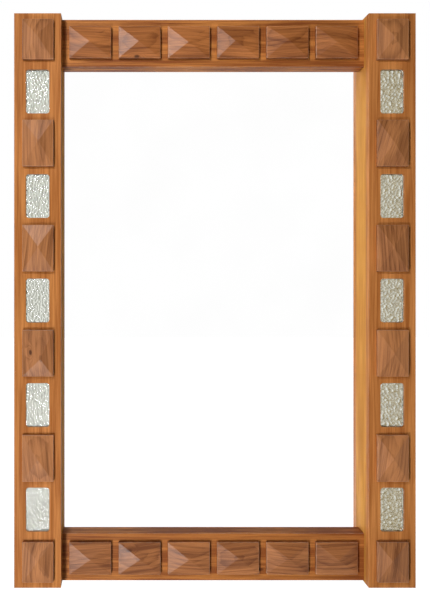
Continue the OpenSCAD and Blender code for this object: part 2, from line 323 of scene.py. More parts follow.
@built_once
def timber_group():
    """Growth rings round the tree's heart, streaks, pores and a knot, from a place in the board"""
    tree, given, made = new_tree(
        "Timber", "ShaderNodeTree",
        dict(Place="Vector", Knot="Vector", Ring_Spacing=0.006, Wander=0.012, Pores=0.5),
        dict(Rings=0.0, Streaks=0.0, Bands=0.0, Pores=0.0, Knot=0.0, Height=0.0))
    place, spacing = given["Place"], given["Ring Spacing"]

    # The tree doesn't grow straight: its heart wanders slowly along the board
    drift = vectors(tree, "SUBTRACT", clouds(tree, place, HEART_DRIFT, 1.0, output=1), (0.5,) * 3)
    wandered = vectors(tree, "ADD", place, scaled(tree, drift, given["Wander"]))
    radius = vectors(tree, "LENGTH", vectors(tree, "MULTIPLY", wandered, (1.0, 1.0, 0.0)))

    # A knot pushes the rings aside, further along the grain than across it
    away = vectors(tree, "SUBTRACT", place, given["Knot"])
    away = vectors(tree, "LENGTH", vectors(tree, "MULTIPLY", away, KNOT_SHAPE))
    bulge = maths(tree, "EXPONENT", maths(tree, "MULTIPLY", maths(tree, "POWER", away, 2.0), -1.0))

    wobble = maths(tree, "SUBTRACT", clouds(tree, place, RING_WOBBLE), 0.5)
    years = maths(tree, "DIVIDE", radius, spacing)
    years = maths(tree, "MULTIPLY_ADD", wobble, WOBBLE_YEARS, years)
    years = maths(tree, "MULTIPLY_ADD", bulge, KNOT_YEARS, years)
    season = maths(tree, "FRACT", years)
    growth = maths(tree, "POWER", season, LATE_WOOD)
    winter = maths(tree, "SUBTRACT", 1.0, maths(tree, "POWER", season, YEAR_END))
    year = put(tree, "ShaderNodeTexWhiteNoise", {"W": maths(tree, "FLOOR", years)},
               noise_dimensions="1D").outputs["Value"]
    strength = fade(tree, year, 0.0, 1.0, 0.35, 1.0)
    rings = maths(tree, "MULTIPLY", maths(tree, "MULTIPLY", growth, winter), strength)

    broad = clouds(tree, place, BROAD_STREAKS, 3.0, 0.6)
    fine = clouds(tree, place, FINE_STREAKS, 2.0, 0.6)
    streaks = maths(tree, "MULTIPLY_ADD", fine, 0.45, maths(tree, "MULTIPLY", broad, 0.55))
    bands = fade(tree, clouds(tree, place, BROAD_BANDS, 1.0), 0.36, 0.64)
    pores = fade(tree, clouds(tree, place, PORE_DASHES, 1.0), 0.60, 0.72)
    pores = maths(tree, "MULTIPLY", pores, given["Pores"])
    relief = maths(tree, "MULTIPLY", streaks, STREAK_RELIEF)
    relief = maths(tree, "MULTIPLY_ADD", rings, RING_RELIEF, relief)

    return give(tree, made, Rings=rings, Streaks=fade(tree, streaks, 0.40, 0.60), Bands=bands,
                Pores=pores, Knot=fade(tree, away, 0.62, 0.20),
                Height=maths(tree, "MULTIPLY_ADD", pores, PORE_RELIEF, relief))


@built_once
def wear_and_highlight_group():
    """Worn arrises that have gone pale, and faint smudges, from a mask on the mesh"""
    tree, given, made = new_tree(
        "Handling", "ShaderNodeTree",
        dict(Colour="Color", Place="Vector", Arris=0.0, Wear=0.5, Roughness=0.5, Smudge=0.05),
        dict(Colour="Color", Roughness=0.5))
    place = given["Place"]
    patchy = fade(tree, clouds(tree, place, 90.0), 0.30, 0.62, 0.35, 1.0)
    pale_share = maths(tree, "MULTIPLY", maths(tree, "MULTIPLY", given["Arris"], given["Wear"]), patchy)
    paler = blend(tree, 1.0, given["Colour"], WEAR_AND_HIGHLIGHT_COLOUR, "SCREEN")
    smudges = maths(tree, "SUBTRACT", clouds(tree, place, 34.0, 3.0, 0.6), 0.5)
    rough = maths(tree, "MULTIPLY_ADD", smudges, given["Smudge"], given["Roughness"])
    return give(tree, made, Colour=blend(tree, pale_share, given["Colour"], paler),
                Roughness=maths(tree, "MULTIPLY_ADD", pale_share, -WORN_SMOOTHING, rough))


@built_once
def plating_group():
    """Zinc plating: grain as of rolled sheet, dulled patches and fine scratches"""
    tree, given, made = new_tree(
        "Plating", "ShaderNodeTree",
        dict(Place="Vector", Bright="Color", Dull="Color", Roughness=0.3),
        dict(Colour="Color", Roughness=0.3, Height=0.0))
    place = given["Place"]
    patches = fade(tree, clouds(tree, place, 120.0, 4.0, 0.6), 0.36, 0.66)
    rolled = clouds(tree, place, (2600.0, 2600.0, 170.0), 2.0)
    scratched = clouds(tree, place, (900.0, 260.0, 2400.0), 2.0)
    rough = maths(tree, "MULTIPLY_ADD", patches, 0.16, given["Roughness"])
    return give(tree, made, Colour=blend(tree, patches, given["Bright"], given["Dull"]),
                Roughness=maths(tree, "MULTIPLY_ADD", rolled, 0.08, rough),
                Height=maths(tree, "ADD", rolled, scratched))


# Materials

def new_material(name, show, **inputs):
    """An empty material with a Principled surface, whose plain values are set by input name"""
    surface = bpy.data.materials.new(name)
    surface.use_nodes = True
    surface.diffuse_color = (*show, 1.0)
    tree = surface.node_tree
    tree.nodes.clear()
    output = tree.nodes.new("ShaderNodeOutputMaterial")
    values = {key.replace("_", " "): value for key, value in inputs.items()}
    shader = put(tree, "ShaderNodeBsdfPrincipled", values)
    tree.links.new(shader.outputs["BSDF"], output.inputs["Surface"])
    return surface, tree, shader.inputs


def paint(tree, inputs, colour, roughness, height=None, distance=0.0):
    """Gives the shader its colour and roughness, and a bump of that height if it has one"""
    tree.links.new(colour, inputs["Base Color"])
    tree.links.new(roughness, inputs["Roughness"])
    if height is not None:
        bump = put(tree, "ShaderNodeBump", {"Height": height, "Distance": distance})
        tree.links.new(bump.outputs["Normal"], inputs["Normal"])


def object_place(tree):
    return tree.nodes.new("ShaderNodeTexCoord").outputs["Object"]


def wood(name, pale, dark, spacing, wander, figure, streak, band, pore, roughness, wear, gloss):
    """Oiled wood. Spacing is the rings', wander how far the tree's heart strays, and figure how dark
    the rings are. Streak, band and pore are the strength of the streaks, broad bands and pores"""
    material, tree, inputs = new_material(name, pale, Specular_IOR_Level=gloss)
    place, tone = own(tree, "timber", "Vector"), own(tree, "tone")
    timber = put(tree, "ShaderNodeGroup",
                 {"Place": place, "Knot": own(tree, "knot", "Vector"), "Ring Spacing": spacing,
                  "Wander": wander, "Pores": pore}, node_tree=timber_group()).outputs
    dark_share = PLAIN_SHARE
    for value, share in ((timber["Rings"], figure), (timber["Streaks"], streak),
                         (timber["Bands"], band), (tone, -TONE_SHARE), (timber["Pores"], PORE_SHARE)):
        dark_share = maths(tree, "MULTIPLY_ADD", value, share, dark_share)
    dark_share = put(tree, "ShaderNodeClamp", {"Value": dark_share}).outputs[0]
    figured = blend(tree, dark_share, pale, dark)
    faded = blend(tree, 1.0, figured, DAYLIGHT, "MULTIPLY")
    figured = blend(tree, own(tree, "faded"), figured, faded)
    figured = blend(tree, timber["Knot"], figured, shade(dark, KNOT_DARKNESS))
    # The marked arrises and openings go paler here: wearing of the edges, painted highlight and painted
    # light
    finish = put(tree, "ShaderNodeGroup",
                 {"Colour": figured, "Place": place, "Arris": own(tree, "arris"), "Wear": wear,
                  "Roughness": roughness, "Smudge": 0.10}, node_tree=wear_and_highlight_group()).outputs
    paint(tree, inputs, finish["Colour"], finish["Roughness"], timber["Height"], GRAIN_HEIGHT)
    return material


# For each wood: its colours' name, its rings' size, how far the tree's heart strays, and its figure
WOODS = {
    "stile_wood": ("stile", "ring_spacing", 0.016, dict(
        figure=0.44, streak=0.50, band=0.35, pore=0.35, roughness=0.48, wear=0.35, gloss=0.05)),
    "rail_wood": ("rail", "ring_spacing", 0.022, dict(
        figure=0.42, streak=0.45, band=0.50, pore=0.45, roughness=0.48, wear=0.35, gloss=0.12)),
    "core_wood": ("core", "ring_spacing", 0.014, dict(
        figure=0.30, streak=0.34, band=0.30, pore=0.35, roughness=0.60, wear=0.35, gloss=0.02)),
    "block_wood": ("walnut", "walnut_rings", 0.020, dict(
        figure=0.48, streak=0.42, band=0.36, pore=0.40, roughness=0.36, wear=0.30, gloss=0.24)),
    "ply": ("birch", "birch_rings", 0.030, dict(
        figure=0.35, streak=0.25, band=0.30, pore=0.10, roughness=0.62, wear=0.10, gloss=0.25)),
}


@built_once
def finish_of(slot):
    """The material for one of the record's slots"""
    if slot in WOODS:
        colour, rings, wander, figure = WOODS[slot]
        pale, dark = (getattr(colours(), f"{colour}_{end}")[:] for end in ("pale", "dark"))
        return wood(slot, pale, dark, getattr(sizes(), rings), wander, **figure)
    if slot in ("plated_steel", "screw_steel"):
        return plated(slot, colours().zinc[:])
    return {"window_glass": hammered_glass, "silvering": silvering, "mirror": mirror_front,
            "card": card, "rubber": rubber}[slot]()


def plated(name, zinc):
    """Zinc-plated steel"""
    material, tree, inputs = new_material(name, zinc, Metallic=1.0)
    plating = put(tree, "ShaderNodeGroup",
                  {"Place": object_place(tree), "Bright": (*zinc, 1.0),
                   "Dull": (*shade(zinc, 0.72), 1.0), "Roughness": 0.30},
                  node_tree=plating_group()).outputs
    paint(tree, inputs, plating["Colour"], plating["Roughness"], plating["Height"], 0.00002)
    return material


def hammered_glass():
    """Clear, slightly green glass. Its hammering is in the mesh, and only fire polish is a bump"""
    tint = colours().glass_tint[:]
    material, tree, inputs = new_material("window_glass", tint, Transmission_Weight=1.0, IOR=1.52)
    place = object_place(tree)
    seeds = fade(tree, clouds(tree, place, 420.0, 1.0), 0.60, 0.75)
    polish = clouds(tree, place, 260.0)
    paint(tree, inputs, blend(tree, seeds, tint, shade(tint, 0.93)),
          fade(tree, polish, 0.3, 0.7, 0.01, 0.06), polish, 0.00010)
    return material


def silvering():
    """Silvered plate with the faint mottling of age"""
    bright = colours().silver[:]
    material, tree, inputs = new_material("silvering", bright, Metallic=1.0)
    mottle = fade(tree, clouds(tree, object_place(tree), 80.0, 4.0, 0.65), 0.45, 0.75)
    paint(tree, inputs, blend(tree, mottle, bright, shade(bright, 0.8)),
          fade(tree, mottle, 0.0, 1.0, 0.03, 0.14))
    return material


@built_once
def mirror_front():
    """Bright silvering, a little duller in broad patches"""
    bright = colours().mirror[:]
    material, tree, inputs = new_material("mirror", bright, Metallic=1.0)
    haze = fade(tree, clouds(tree, object_place(tree), 6.0), 0.35, 0.75)
    paint(tree, inputs, blend(tree, haze, bright, shade(bright, 0.985)),
          fade(tree, haze, 0.0, 1.0, 0.004, 0.012))
    return material


@built_once
def glass_edge():
    """Ground edge of the mirror plate"""
    green = colours().glass_edge[:]
    material, tree, inputs = new_material("mirror_edge", green)
    ground = clouds(tree, object_place(tree), 900.0)
    paint(tree, inputs, blend(tree, ground, green, shade(green, 1.5)),
          fade(tree, ground, 0.3, 0.7, 0.25, 0.45), ground, 0.00005)
    return material


@built_once
def backing_paint():
    """Grey paint over the back of the silvering"""
    grey = colours().backing[:]
    material, tree, inputs = new_material("mirror_backing", grey)
    brushed = clouds(tree, object_place(tree), (500.0, 500.0, 9.0), 3.0)
    paint(tree, inputs, blend(tree, brushed, grey, shade(grey, 0.75)),
          fade(tree, brushed, 0.3, 0.7, 0.5, 0.7))
    return material


def card():
    """Grey-brown card with flecks and fibres"""
    brown = colours().card[:]
    material, tree, inputs = new_material("card", brown)
    place = object_place(tree)
    fibres = clouds(tree, place, (1500.0, 1500.0, 240.0), 3.0, 0.6)
    flecks = fade(tree, clouds(tree, place, 700.0, 1.0), 0.62, 0.72)
    mixed = blend(tree, fibres, shade(brown, 0.75), shade(brown, 1.3))
    paint(tree, inputs, blend(tree, flecks, mixed, shade(brown, 0.5)),
          fade(tree, fibres, 0.3, 0.7, 0.82, 0.95), fibres, 0.0001)
    return material


def rubber():
    """Black moulded rubber with a fine grain and a little bloom"""
    black = colours().rubber[:]
    material, tree, inputs = new_material("rubber", black)
    place = object_place(tree)
    bloom = fade(tree, clouds(tree, place, 160.0, 4.0, 0.6), 0.45, 0.8)
    paint(tree, inputs, blend(tree, bloom, black, (0.05, 0.05, 0.052)),
          fade(tree, bloom, 0.0, 1.0, 0.55, 0.75), clouds(tree, place, 1600.0, 1.0), 0.00008)
    return material


# Meshes

def joined(node):
    """A copy of a CAD node's mesh with its loose triangles merged into whole faces"""
    shape = bmesh.new()
    shape.from_mesh(frame["nodes"][node].data)
    bmesh.ops.remove_doubles(shape, verts=shape.verts, dist=SAME_PLACE)
    bmesh.ops.dissolve_limit(shape, angle_limit=SAME_PLANE, verts=shape.verts, edges=shape.edges)
    bmesh.ops.recalc_face_normals(shape, faces=shape.faces)
    return shape


def ease(shape, width, wanted=lambda edge: True, steps=2):
    """Rounds the sharp edges that are wanted, and marks the new faces as arrises"""
    mark = shape.faces.layers.float.get("arris") or shape.faces.layers.float.new("arris")
    edges = [e for e in shape.edges if len(e.link_faces) == 2
             and e.calc_face_angle() > SHARP and wanted(e)]
    made = bmesh.ops.bevel(shape, geom=edges, offset=width, segments=steps, profile=FULLNESS,
                           affect="EDGES", clamp_overlap=True)
    # These faces are painted paler later: partly wearing of the edge, partly a painted highlight
    for face in made["faces"]:
        face[mark] = 1.0
    return shape


def new_object(name, data):
    """A new object in the scene"""
    made = bpy.data.objects.new(name, data)
    bpy.context.scene.collection.objects.link(made)
    return made


def lies_at(edge, y):
    return all(abs(v.co.y - y) < SAME_PLACE for v in edge.verts)


def as_mesh(shape, name, smooth=False):
    """Ends work on a shape and keeps it as a mesh, smooth but for its sharp edges if wanted"""
    mesh = bpy.data.meshes.new(name)
    shape.normal_update()
    shape.to_mesh(mesh)
    shape.free()
    if smooth:
        mesh.shade_smooth()
        mesh.set_sharp_from_angle(angle=SHARP)
    else:
        mesh.shade_flat()
    return mesh


def write(mesh, name, values):
    """Writes a value or a vector on every point of a mesh"""
    values = np.asarray(values, np.float32)
    vector = values.shape[-1:] == (3,)
    layer = mesh.attributes.new(name, "FLOAT_VECTOR" if vector else "FLOAT", "POINT")
    full = np.broadcast_to(values, (len(mesh.vertices), 3) if vector else (len(mesh.vertices),))
    layer.data.foreach_set("vector" if vector else "value", np.ascontiguousarray(full).ravel())


def saw(mesh, lean, start, tone=0.0, knot=None, faded=0.0):
    """Writes where each point lay in its board, across, through and along the grain, from the
    tree's heart. Lean is the grain's angle from upright, and start the middle's place. A knot is
    (x, z) from the middle, a higher tone is paler, and faded goes from 0 to 1"""
    places = np.array([v.co for v in mesh.vertices], np.float32)
    middle = (places.min(0) + places.max(0)) / 2
    turn = np.array(Matrix.Rotation(-lean, 3, "Y")).T

    def in_board(points):
        return (np.asarray(points, float) - middle) @ turn + np.array(start)

    write(mesh, "timber", in_board(places))
    write(mesh, "tone", tone)
    write(mesh, "faded", faded)
    write(mesh, "knot", in_board(middle + (knot[0], 0, knot[1])) if knot else FAR_AWAY)
    return mesh


def stand_for(name, mesh, *nodes, materials=None):
    """Makes a piece that stands for its CAD nodes and rides on their body"""
    slot = SLOTS[nodes[0]]
    mesh.materials.clear()
    for material in materials or [finish_of(slot)]:
        mesh.materials.append(material)
    piece = new_object(name, mesh)
    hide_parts(*nodes)
    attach(piece, frame["nodes"][nodes[0]]["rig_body"])


def finish_copy(name, node, edge, smooth=False):
    """A copy of a CAD node with its edges rounded stands for it"""
    stand_for(name, as_mesh(ease(joined(node), edge), name, smooth), node)


def solids_of(shape):
    """The separate solids of a shape, each as the list of its corners"""
    waiting, solids = set(shape.verts), []
    for seed in shape.verts:
        if seed not in waiting:
            continue
        waiting.remove(seed)
        solid = [seed]
        for corner in solid:
            for edge in corner.link_edges:
                other = edge.other_vert(corner)
                if other in waiting:
                    waiting.remove(other)
                    solid.append(other)
        solids.append(solid)
    return solids


def middle_of(corners):
    low = Vector(min(c.co[i] for c in corners) for i in range(3))
    high = Vector(max(c.co[i] for c in corners) for i in range(3))
    return (low + high) / 2


def grown(mesh, tree, values):
    """The plain mesh that a geometry tree makes of a mesh, with the tree's inputs set by name"""
    holder = new_object(tree.name, mesh)
    modifier = holder.modifiers.new(tree.name, "NODES")
    modifier.node_group = tree
    for socket in tree.interface.items_tree:
        if socket.item_type == "SOCKET" and socket.in_out == "INPUT" and socket.name in values:
            modifier[socket.identifier] = values[socket.name]
    graph = bpy.context.evaluated_depsgraph_get()
    made = bpy.data.meshes.new_from_object(holder.evaluated_get(graph))
    holder.modifiers.remove(modifier)
    bpy.data.objects.remove(holder)
    bpy.data.meshes.remove(mesh)
    return made


def end_tree(tree, geometry, finish, socket):
    """Ends a geometry tree with real geometry in one material"""
    plain = put(tree, "GeometryNodeRealizeInstances", {"Geometry": geometry}).outputs[0]
    done = put(tree, "GeometryNodeSetMaterial", {"Geometry": plain, "Material": finish})
    tree.links.new(done.outputs[0], socket)
    return tree


@built_once
def hammering_tree():
    """Presses a glass down between round bumps where its mask says, as a patterned roller does"""
    tree, given, made = new_tree(
        "Hammering", "GeometryNodeTree",
        dict(Glass="Geometry", Pitch=0.0048, Depth=0.0013, Softness=0.06, Seed=7, Finish="Material"),
        dict(Glass="Geometry"))
    here = tree.nodes.new("GeometryNodeInputPosition").outputs[0]
    place = put(tree, "ShaderNodeSeparateXYZ", {0: here}).outputs
    flat = put(tree, "ShaderNodeCombineXYZ", {"X": place["X"], "Y": place["Z"]}).outputs[0]
    cells = scaled(tree, flat, maths(tree, "DIVIDE", 1.0, given["Pitch"]))
    cells = vectors(tree, "ADD", cells, maths(tree, "MULTIPLY", given["Seed"], SEED_STEP))
    away = put(tree, "ShaderNodeTexVoronoi",
               {"Vector": cells, "Scale": 1.0, "Smoothness": given["Softness"], "Randomness": 1.0},
               voronoi_dimensions="2D", feature="SMOOTH_F1").outputs["Distance"]
    mask = put(tree, "GeometryNodeInputNamedAttribute", {"Name": "pressed"}, data_type="FLOAT")
    depth = maths(tree, "MULTIPLY", maths(tree, "POWER", away, 2.0), given["Depth"])
    depth = maths(tree, "MULTIPLY", depth, mask.outputs[0])
    push = put(tree, "ShaderNodeCombineXYZ", {"Y": depth}).outputs[0]
    pressed = put(tree, "GeometryNodeSetPosition",
                  {"Geometry": given["Glass"], "Offset": push}).outputs[0]
    return end_tree(tree, pressed, given["Finish"], made["Glass"])


@built_once
def driven_screws_tree():
    """Sets a screw on each point, its slot left at the turn where the driver stopped"""
    tree, given, made = new_tree(
        "Driven Screws", "GeometryNodeTree",
        dict(Places="Geometry", Screw="Object", Most_Turn=math.pi, Seed=7, Finish="Material"),
        dict(Screws="Geometry"))
    screw = put(tree, "GeometryNodeObjectInfo", {"Object": given["Screw"]}).outputs["Geometry"]
    turn = put(tree, "FunctionNodeRandomValue", {"Seed": given["Seed"]}, data_type="FLOAT")
    tree.links.new(given["Most Turn"], turn.inputs[3])
    angle = put(tree, "ShaderNodeCombineXYZ", {"Y": turn.outputs[1]}).outputs[0]
    rotation = put(tree, "FunctionNodeEulerToRotation", {0: angle}).outputs[0]
    placed = put(tree, "GeometryNodeInstanceOnPoints",
                 {"Points": given["Places"], "Instance": screw, "Rotation": rotation}).outputs[0]
    return end_tree(tree, placed, given["Finish"], made["Screws"])


def glass_blank(low, high, corner, rim, step, rest):
    """A round-cornered plate with a close grid on its front, its rim rounded over, and a mask of
    what gets pressed"""
    half_w, half_h = (high.x - low.x) / 2, (high.z - low.z) / 2
    middle_x, middle_z = (high.x + low.x) / 2, (high.z + low.z) / 2
    columns, rows = round(2 * half_w / step), round(2 * half_h / step)
    shape = bmesh.new()
    mask = shape.verts.layers.float.new("pressed")
    grid = []
    for i in range(columns + 1):
        x = half_w * (2 * i / columns - 1)
        into = max(0.0, abs(x) - (half_w - corner))
        reach = half_h - corner + math.sqrt(max(0.0, corner ** 2 - into ** 2))
        line = []
        for j in range(rows + 1):
            z = reach * (2 * j / rows - 1)
            short = max(0.0, 1.0 - min(half_w - abs(x), reach - abs(z)) / rim)
            fall = rim * (1.0 - math.sqrt(1.0 - short ** 2))
            vert = shape.verts.new((middle_x + x, low.y + fall, middle_z + z))
            vert[mask] = 1.0 - short
            line.append(vert)
        grid.append(line)
    for i in range(columns):
        for j in range(rows):
            shape.faces.new((grid[i][j], grid[i + 1][j], grid[i + 1][j + 1], grid[i][j + 1]))
    loop = ([line[0] for line in grid] + grid[-1][1:] + [line[-1] for line in grid[-2::-1]]
            + grid[0][-2:0:-1])
    back = [shape.verts.new((v.co.x, high.y - rest, v.co.z)) for v in loop]
    for k in range(len(loop)):
        n = (k + 1) % len(loop)
        shape.faces.new((loop[n], loop[k], back[k], back[n]))
    shape.faces.new(back[::-1])
    bmesh.ops.recalc_face_normals(shape, faces=shape.faces)
    return shape


# How each block was cut: its tone, where 0 is plain walnut and more is paler, and the lean of its
# grain in degrees. The bottom rail's first three blocks are toned darker as painted shade, for the
# flatter light along that row
BLOCK_LOOKS = {
    "left_stile": [(0.55, 1), (0.8, -1), (0.5, 6), (0.2, -4), (1.0, -7), (0.6, 4)],
    "right_stile": [(0.8, 2), (0.5, 17), (0.3, -4), (0.9, 3), (1.2, 8), (-0.1, 5)],
    "top_rail": [(0.2, 3), (0.2, -2), (0.1, 4), (0.3, 3), (0.2, -4), (0.15, 9)],
    "bottom_rail": [(-0.4, -3), (-0.2, -7), (-0.35, 4), (0.2, -5), (0.0, 5), (0.2, -3)],
}
# How far each row's blocks have faded, from 0 to 1
BLOCK_FADING = {"left_stile": 1.0, "right_stile": 1.0, "top_rail": 0.0, "bottom_rail": 0.6}
# Knots, as (x, z) from the middle of their piece
BLOCK_KNOTS = {
    "left_stile_block_4": (-0.0153, 0.0023),
    "top_rail_block_2": (-0.006, -0.032),
    "bottom_rail_block_2": (-0.0228, 0.019),
}
# Blocks were sawn so many metres from the tree's heart, across, through and along the grain
BLOCK_PLACES = ((-0.06, 0.06), (0.03, 0.09), (20, 40))
# For each board: its piece's name, the lean of its grain in degrees, where its middle lay from the
# tree's heart, its tone, and a knot
UPRIGHT, LEVEL = 0.0, 90.0
BOARDS = {
    "left_face_board": ("left_stile_face", UPRIGHT, (0.020, 0.075, 0.0), 0.15, None),
    "right_face_board": ("right_stile_face", UPRIGHT, (-0.035, 0.060, 3.1), 0.40, None),
    "left_core_board": ("left_stile_core", UPRIGHT, (0.060, 0.090, 5.3), 0.0, None),
    "right_core_board": ("right_stile_core", UPRIGHT, (-0.050, 0.080, 7.9), 0.0, None),
    "top_rail": ("top_rail_board", LEVEL, (0.010, 0.085, 11.0), 0.10, None),
    "bottom_rail": ("bottom_rail_board", LEVEL, (-0.025, 0.070, 13.7), -0.40, (0.1052, -0.0277)),
}


class WALLMIRROR_OT_boards(bpy.types.Operator):
    """Makes the stiles' face and core boards and the two rails, with eased arrises and grain"""

    bl_idname = "wall_mirror.boards"
    bl_label = "Boards"

    # A side further than this inside a stile's outline is the side of an opening
    OPENING_INSET = 0.01

    def execute(self, context):
        s = sizes()
        for node, (name, lean, start, tone, knot) in BOARDS.items():
            low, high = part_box(node)
            shape = joined(node)
            if node.endswith("rail"):
                ease(shape, s.arris, lambda e: self.is_long(e, low.y))
            else:
                glued = high.y if node.endswith("face_board") else low.y
                outer = low.y if node.endswith("face_board") else high.y
                ease(shape, s.glue_line, lambda e: lies_at(e, glued))
                ease(shape, s.arris, lambda e: lies_at(e, outer))
                self.paint_light_on_openings(shape, low, high)
            stand_for(name, saw(as_mesh(shape, name), math.radians(lean), start, tone, knot), node)
        return {"FINISHED"}

    def paint_light_on_openings(self, shape, low, high):
        """The routed sides of a stile's openings are as smooth and pale as its arrises"""
        mark = shape.faces.layers.float["arris"]
        inset = self.OPENING_INSET
        for face in shape.faces:
            middle = face.calc_center_median()
            inside = all(low[i] + inset < middle[i] < high[i] - inset for i in (0, 2))
            sideways = abs(face.normal.y) < 0.5
            if inside and sideways:
                face[mark] = 1.0

    def is_long(self, edge, front):
        """A rail's arris runs along its front and doesn't turn the corner into a tenon"""
        along = edge.verts[0].co - edge.verts[1].co
        return lies_at(edge, front) and abs(along.x) > abs(along.z)


class WALLMIRROR_OT_blocks(bpy.types.Operator):
    """Makes the twenty-four walnut blocks, each with its own figure, tone and worn arrises"""

    bl_idname = "wall_mirror.blocks"
    bl_label = "Walnut Blocks"

    def execute(self, context):
        dice = random.Random(sizes().seed)
        for row, looks in BLOCK_LOOKS.items():
            grain = UPRIGHT if row.endswith("stile") else LEVEL
            for i, (tone, lean) in enumerate(looks, 1):
                node = f"{row}_block_{i}"
                name = f"{row.split('_')[0]}_walnut_block_{i}"
                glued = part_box(node)[1].y
                shape = ease(joined(node), sizes().block_arris, lambda e: not lies_at(e, glued))
                start = tuple(dice.uniform(*span) for span in BLOCK_PLACES)
                mesh = saw(as_mesh(shape, name), math.radians(grain + lean), start, tone,
                           BLOCK_KNOTS.get(node), BLOCK_FADING[row])
                stand_for(name, mesh, node)
        return {"FINISHED"}


class WALLMIRROR_OT_windows(bpy.types.Operator):
    """Makes the ten hammered glasses, and finishes their silvered plates and card pads"""

    bl_idname = "wall_mirror.windows"
    bl_label = "Hammered Windows"

    WINDOWS_A_SIDE = 5

    def execute(self, context):
        s = sizes()
        for side in SIDES:
            for i in range(1, self.WINDOWS_A_SIDE + 1):
                node, name = f"{side}_window_glass_{i}", f"{side}_hammered_glass_{i}"
                low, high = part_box(node)
                blank = glass_blank(low, high, s.glass_corner, s.glass_rim, s.glass_step, s.glass_rest)
                mesh = grown(as_mesh(blank, name, smooth=True), hammering_tree(), {
                    "Pitch": s.hammer_pitch, "Depth": s.hammer_depth,
                    "Seed": s.seed + self.WINDOWS_A_SIDE * SIDES.index(side) + i,
                    "Finish": finish_of("window_glass")})
                mesh.name = name
                stand_for(name, mesh, node)
            finish_copy(f"{side}_silvered_plates", f"{side}_glass_backings", s.steel_edge)
        finish_copy("card_pads", "glass_pads", s.steel_edge)
        return {"FINISHED"}


class WALLMIRROR_OT_plate(bpy.types.Operator):
    """Makes the mirror plate, silvered in front and painted behind, and its rubber setting blocks"""

    bl_idname = "wall_mirror.plate"
    bl_label = "Mirror Plate"

    # Places in the plate's list of materials
    FRONT, EDGE, BACK = 0, 1, 2

    def execute(self, context):
        shape = ease(joined("mirror_plate"), sizes().arris, steps=1)
        for face in shape.faces:
            if face.normal.y < -SQUARE_ON:
                face.material_index = self.FRONT
            elif face.normal.y > SQUARE_ON:
                face.material_index = self.BACK
            else:
                face.material_index = self.EDGE
        stand_for("mirror_glass", as_mesh(shape, "mirror_glass"), "mirror_plate",
                  materials=[finish_of("mirror"), glass_edge(), backing_paint()])
        finish_copy("rubber_setting_blocks", "setting_blocks", sizes().steel_edge)
        return {"FINISHED"}


class WALLMIRROR_OT_back(bpy.types.Operator):
    """Makes the birch back board and the retainer plates that hold it"""

    bl_idname = "wall_mirror.back"
    bl_label = "Back Board"

    def execute(self, context):
        board = as_mesh(ease(joined("back_board"), sizes().glue_line), "birch_back_board")
        stand_for("birch_back_board", saw(board, UPRIGHT, (0.0, 0.040, 17.0)), "back_board")
        finish_copy("steel_retainers", "retainer_plates", sizes().steel_edge, smooth=True)
        return {"FINISHED"}


class WALLMIRROR_OT_hangers(bpy.types.Operator):
    """Makes the two hanger straps, and the rings that swing in their eyes"""

    bl_idname = "wall_mirror.hangers"
    bl_label = "Hangers"

    def execute(self, context):
        for side in SIDES:
            finish_copy(f"{side}_strap", f"{side}_hanger_strap", sizes().steel_edge, smooth=True)
            ring = as_mesh(joined(f"{side}_hanger_ring"), "ring", smooth=True)
            stand_for(f"{side}_ring", ring, f"{side}_hanger_ring")
        return {"FINISHED"}


class WALLMIRROR_OT_bumpers(bpy.types.Operator):
    """Makes the four rubber bumpers that keep the frame off the wall"""

    bl_idname = "wall_mirror.bumpers"
    bl_label = "Wall Bumpers"

    def execute(self, context):
        finish_copy("rubber_bumpers", "wall_bumpers", sizes().rubber_edge, smooth=True)
        return {"FINISHED"}


class WALLMIRROR_OT_screws(bpy.types.Operator):
    """Drives the retainers', hangers' and bumpers' screws, each slot left at its own turn"""

    bl_idname = "wall_mirror.screws"
    bl_label = "Screws"

    def execute(self, context):
        for k, kind in enumerate(("retainer", "hanger", "bumper")):
            node, name = f"{kind}_screws", f"{kind}_wood_screws"
            shape = joined(node)
            solids = solids_of(shape)
            places = [middle_of(solid) for solid in solids]
            spare = [corner for solid in solids[1:] for corner in solid]
            bmesh.ops.delete(shape, geom=spare, context="VERTS")
            bmesh.ops.translate(shape, verts=shape.verts, vec=-places[0])
            ease(shape, sizes().steel_edge)
            screw = new_object("screw", as_mesh(shape, "screw", smooth=True))
            points = bpy.data.meshes.new("screw_places")
            points.from_pydata(places, [], [])
            mesh = grown(points, driven_screws_tree(), {
                "Screw": screw, "Seed": sizes().seed + k, "Finish": finish_of("screw_steel")})
            mesh.name = name
            bpy.data.meshes.remove(screw.data)
            stand_for(name, mesh, node)
        return {"FINISHED"}


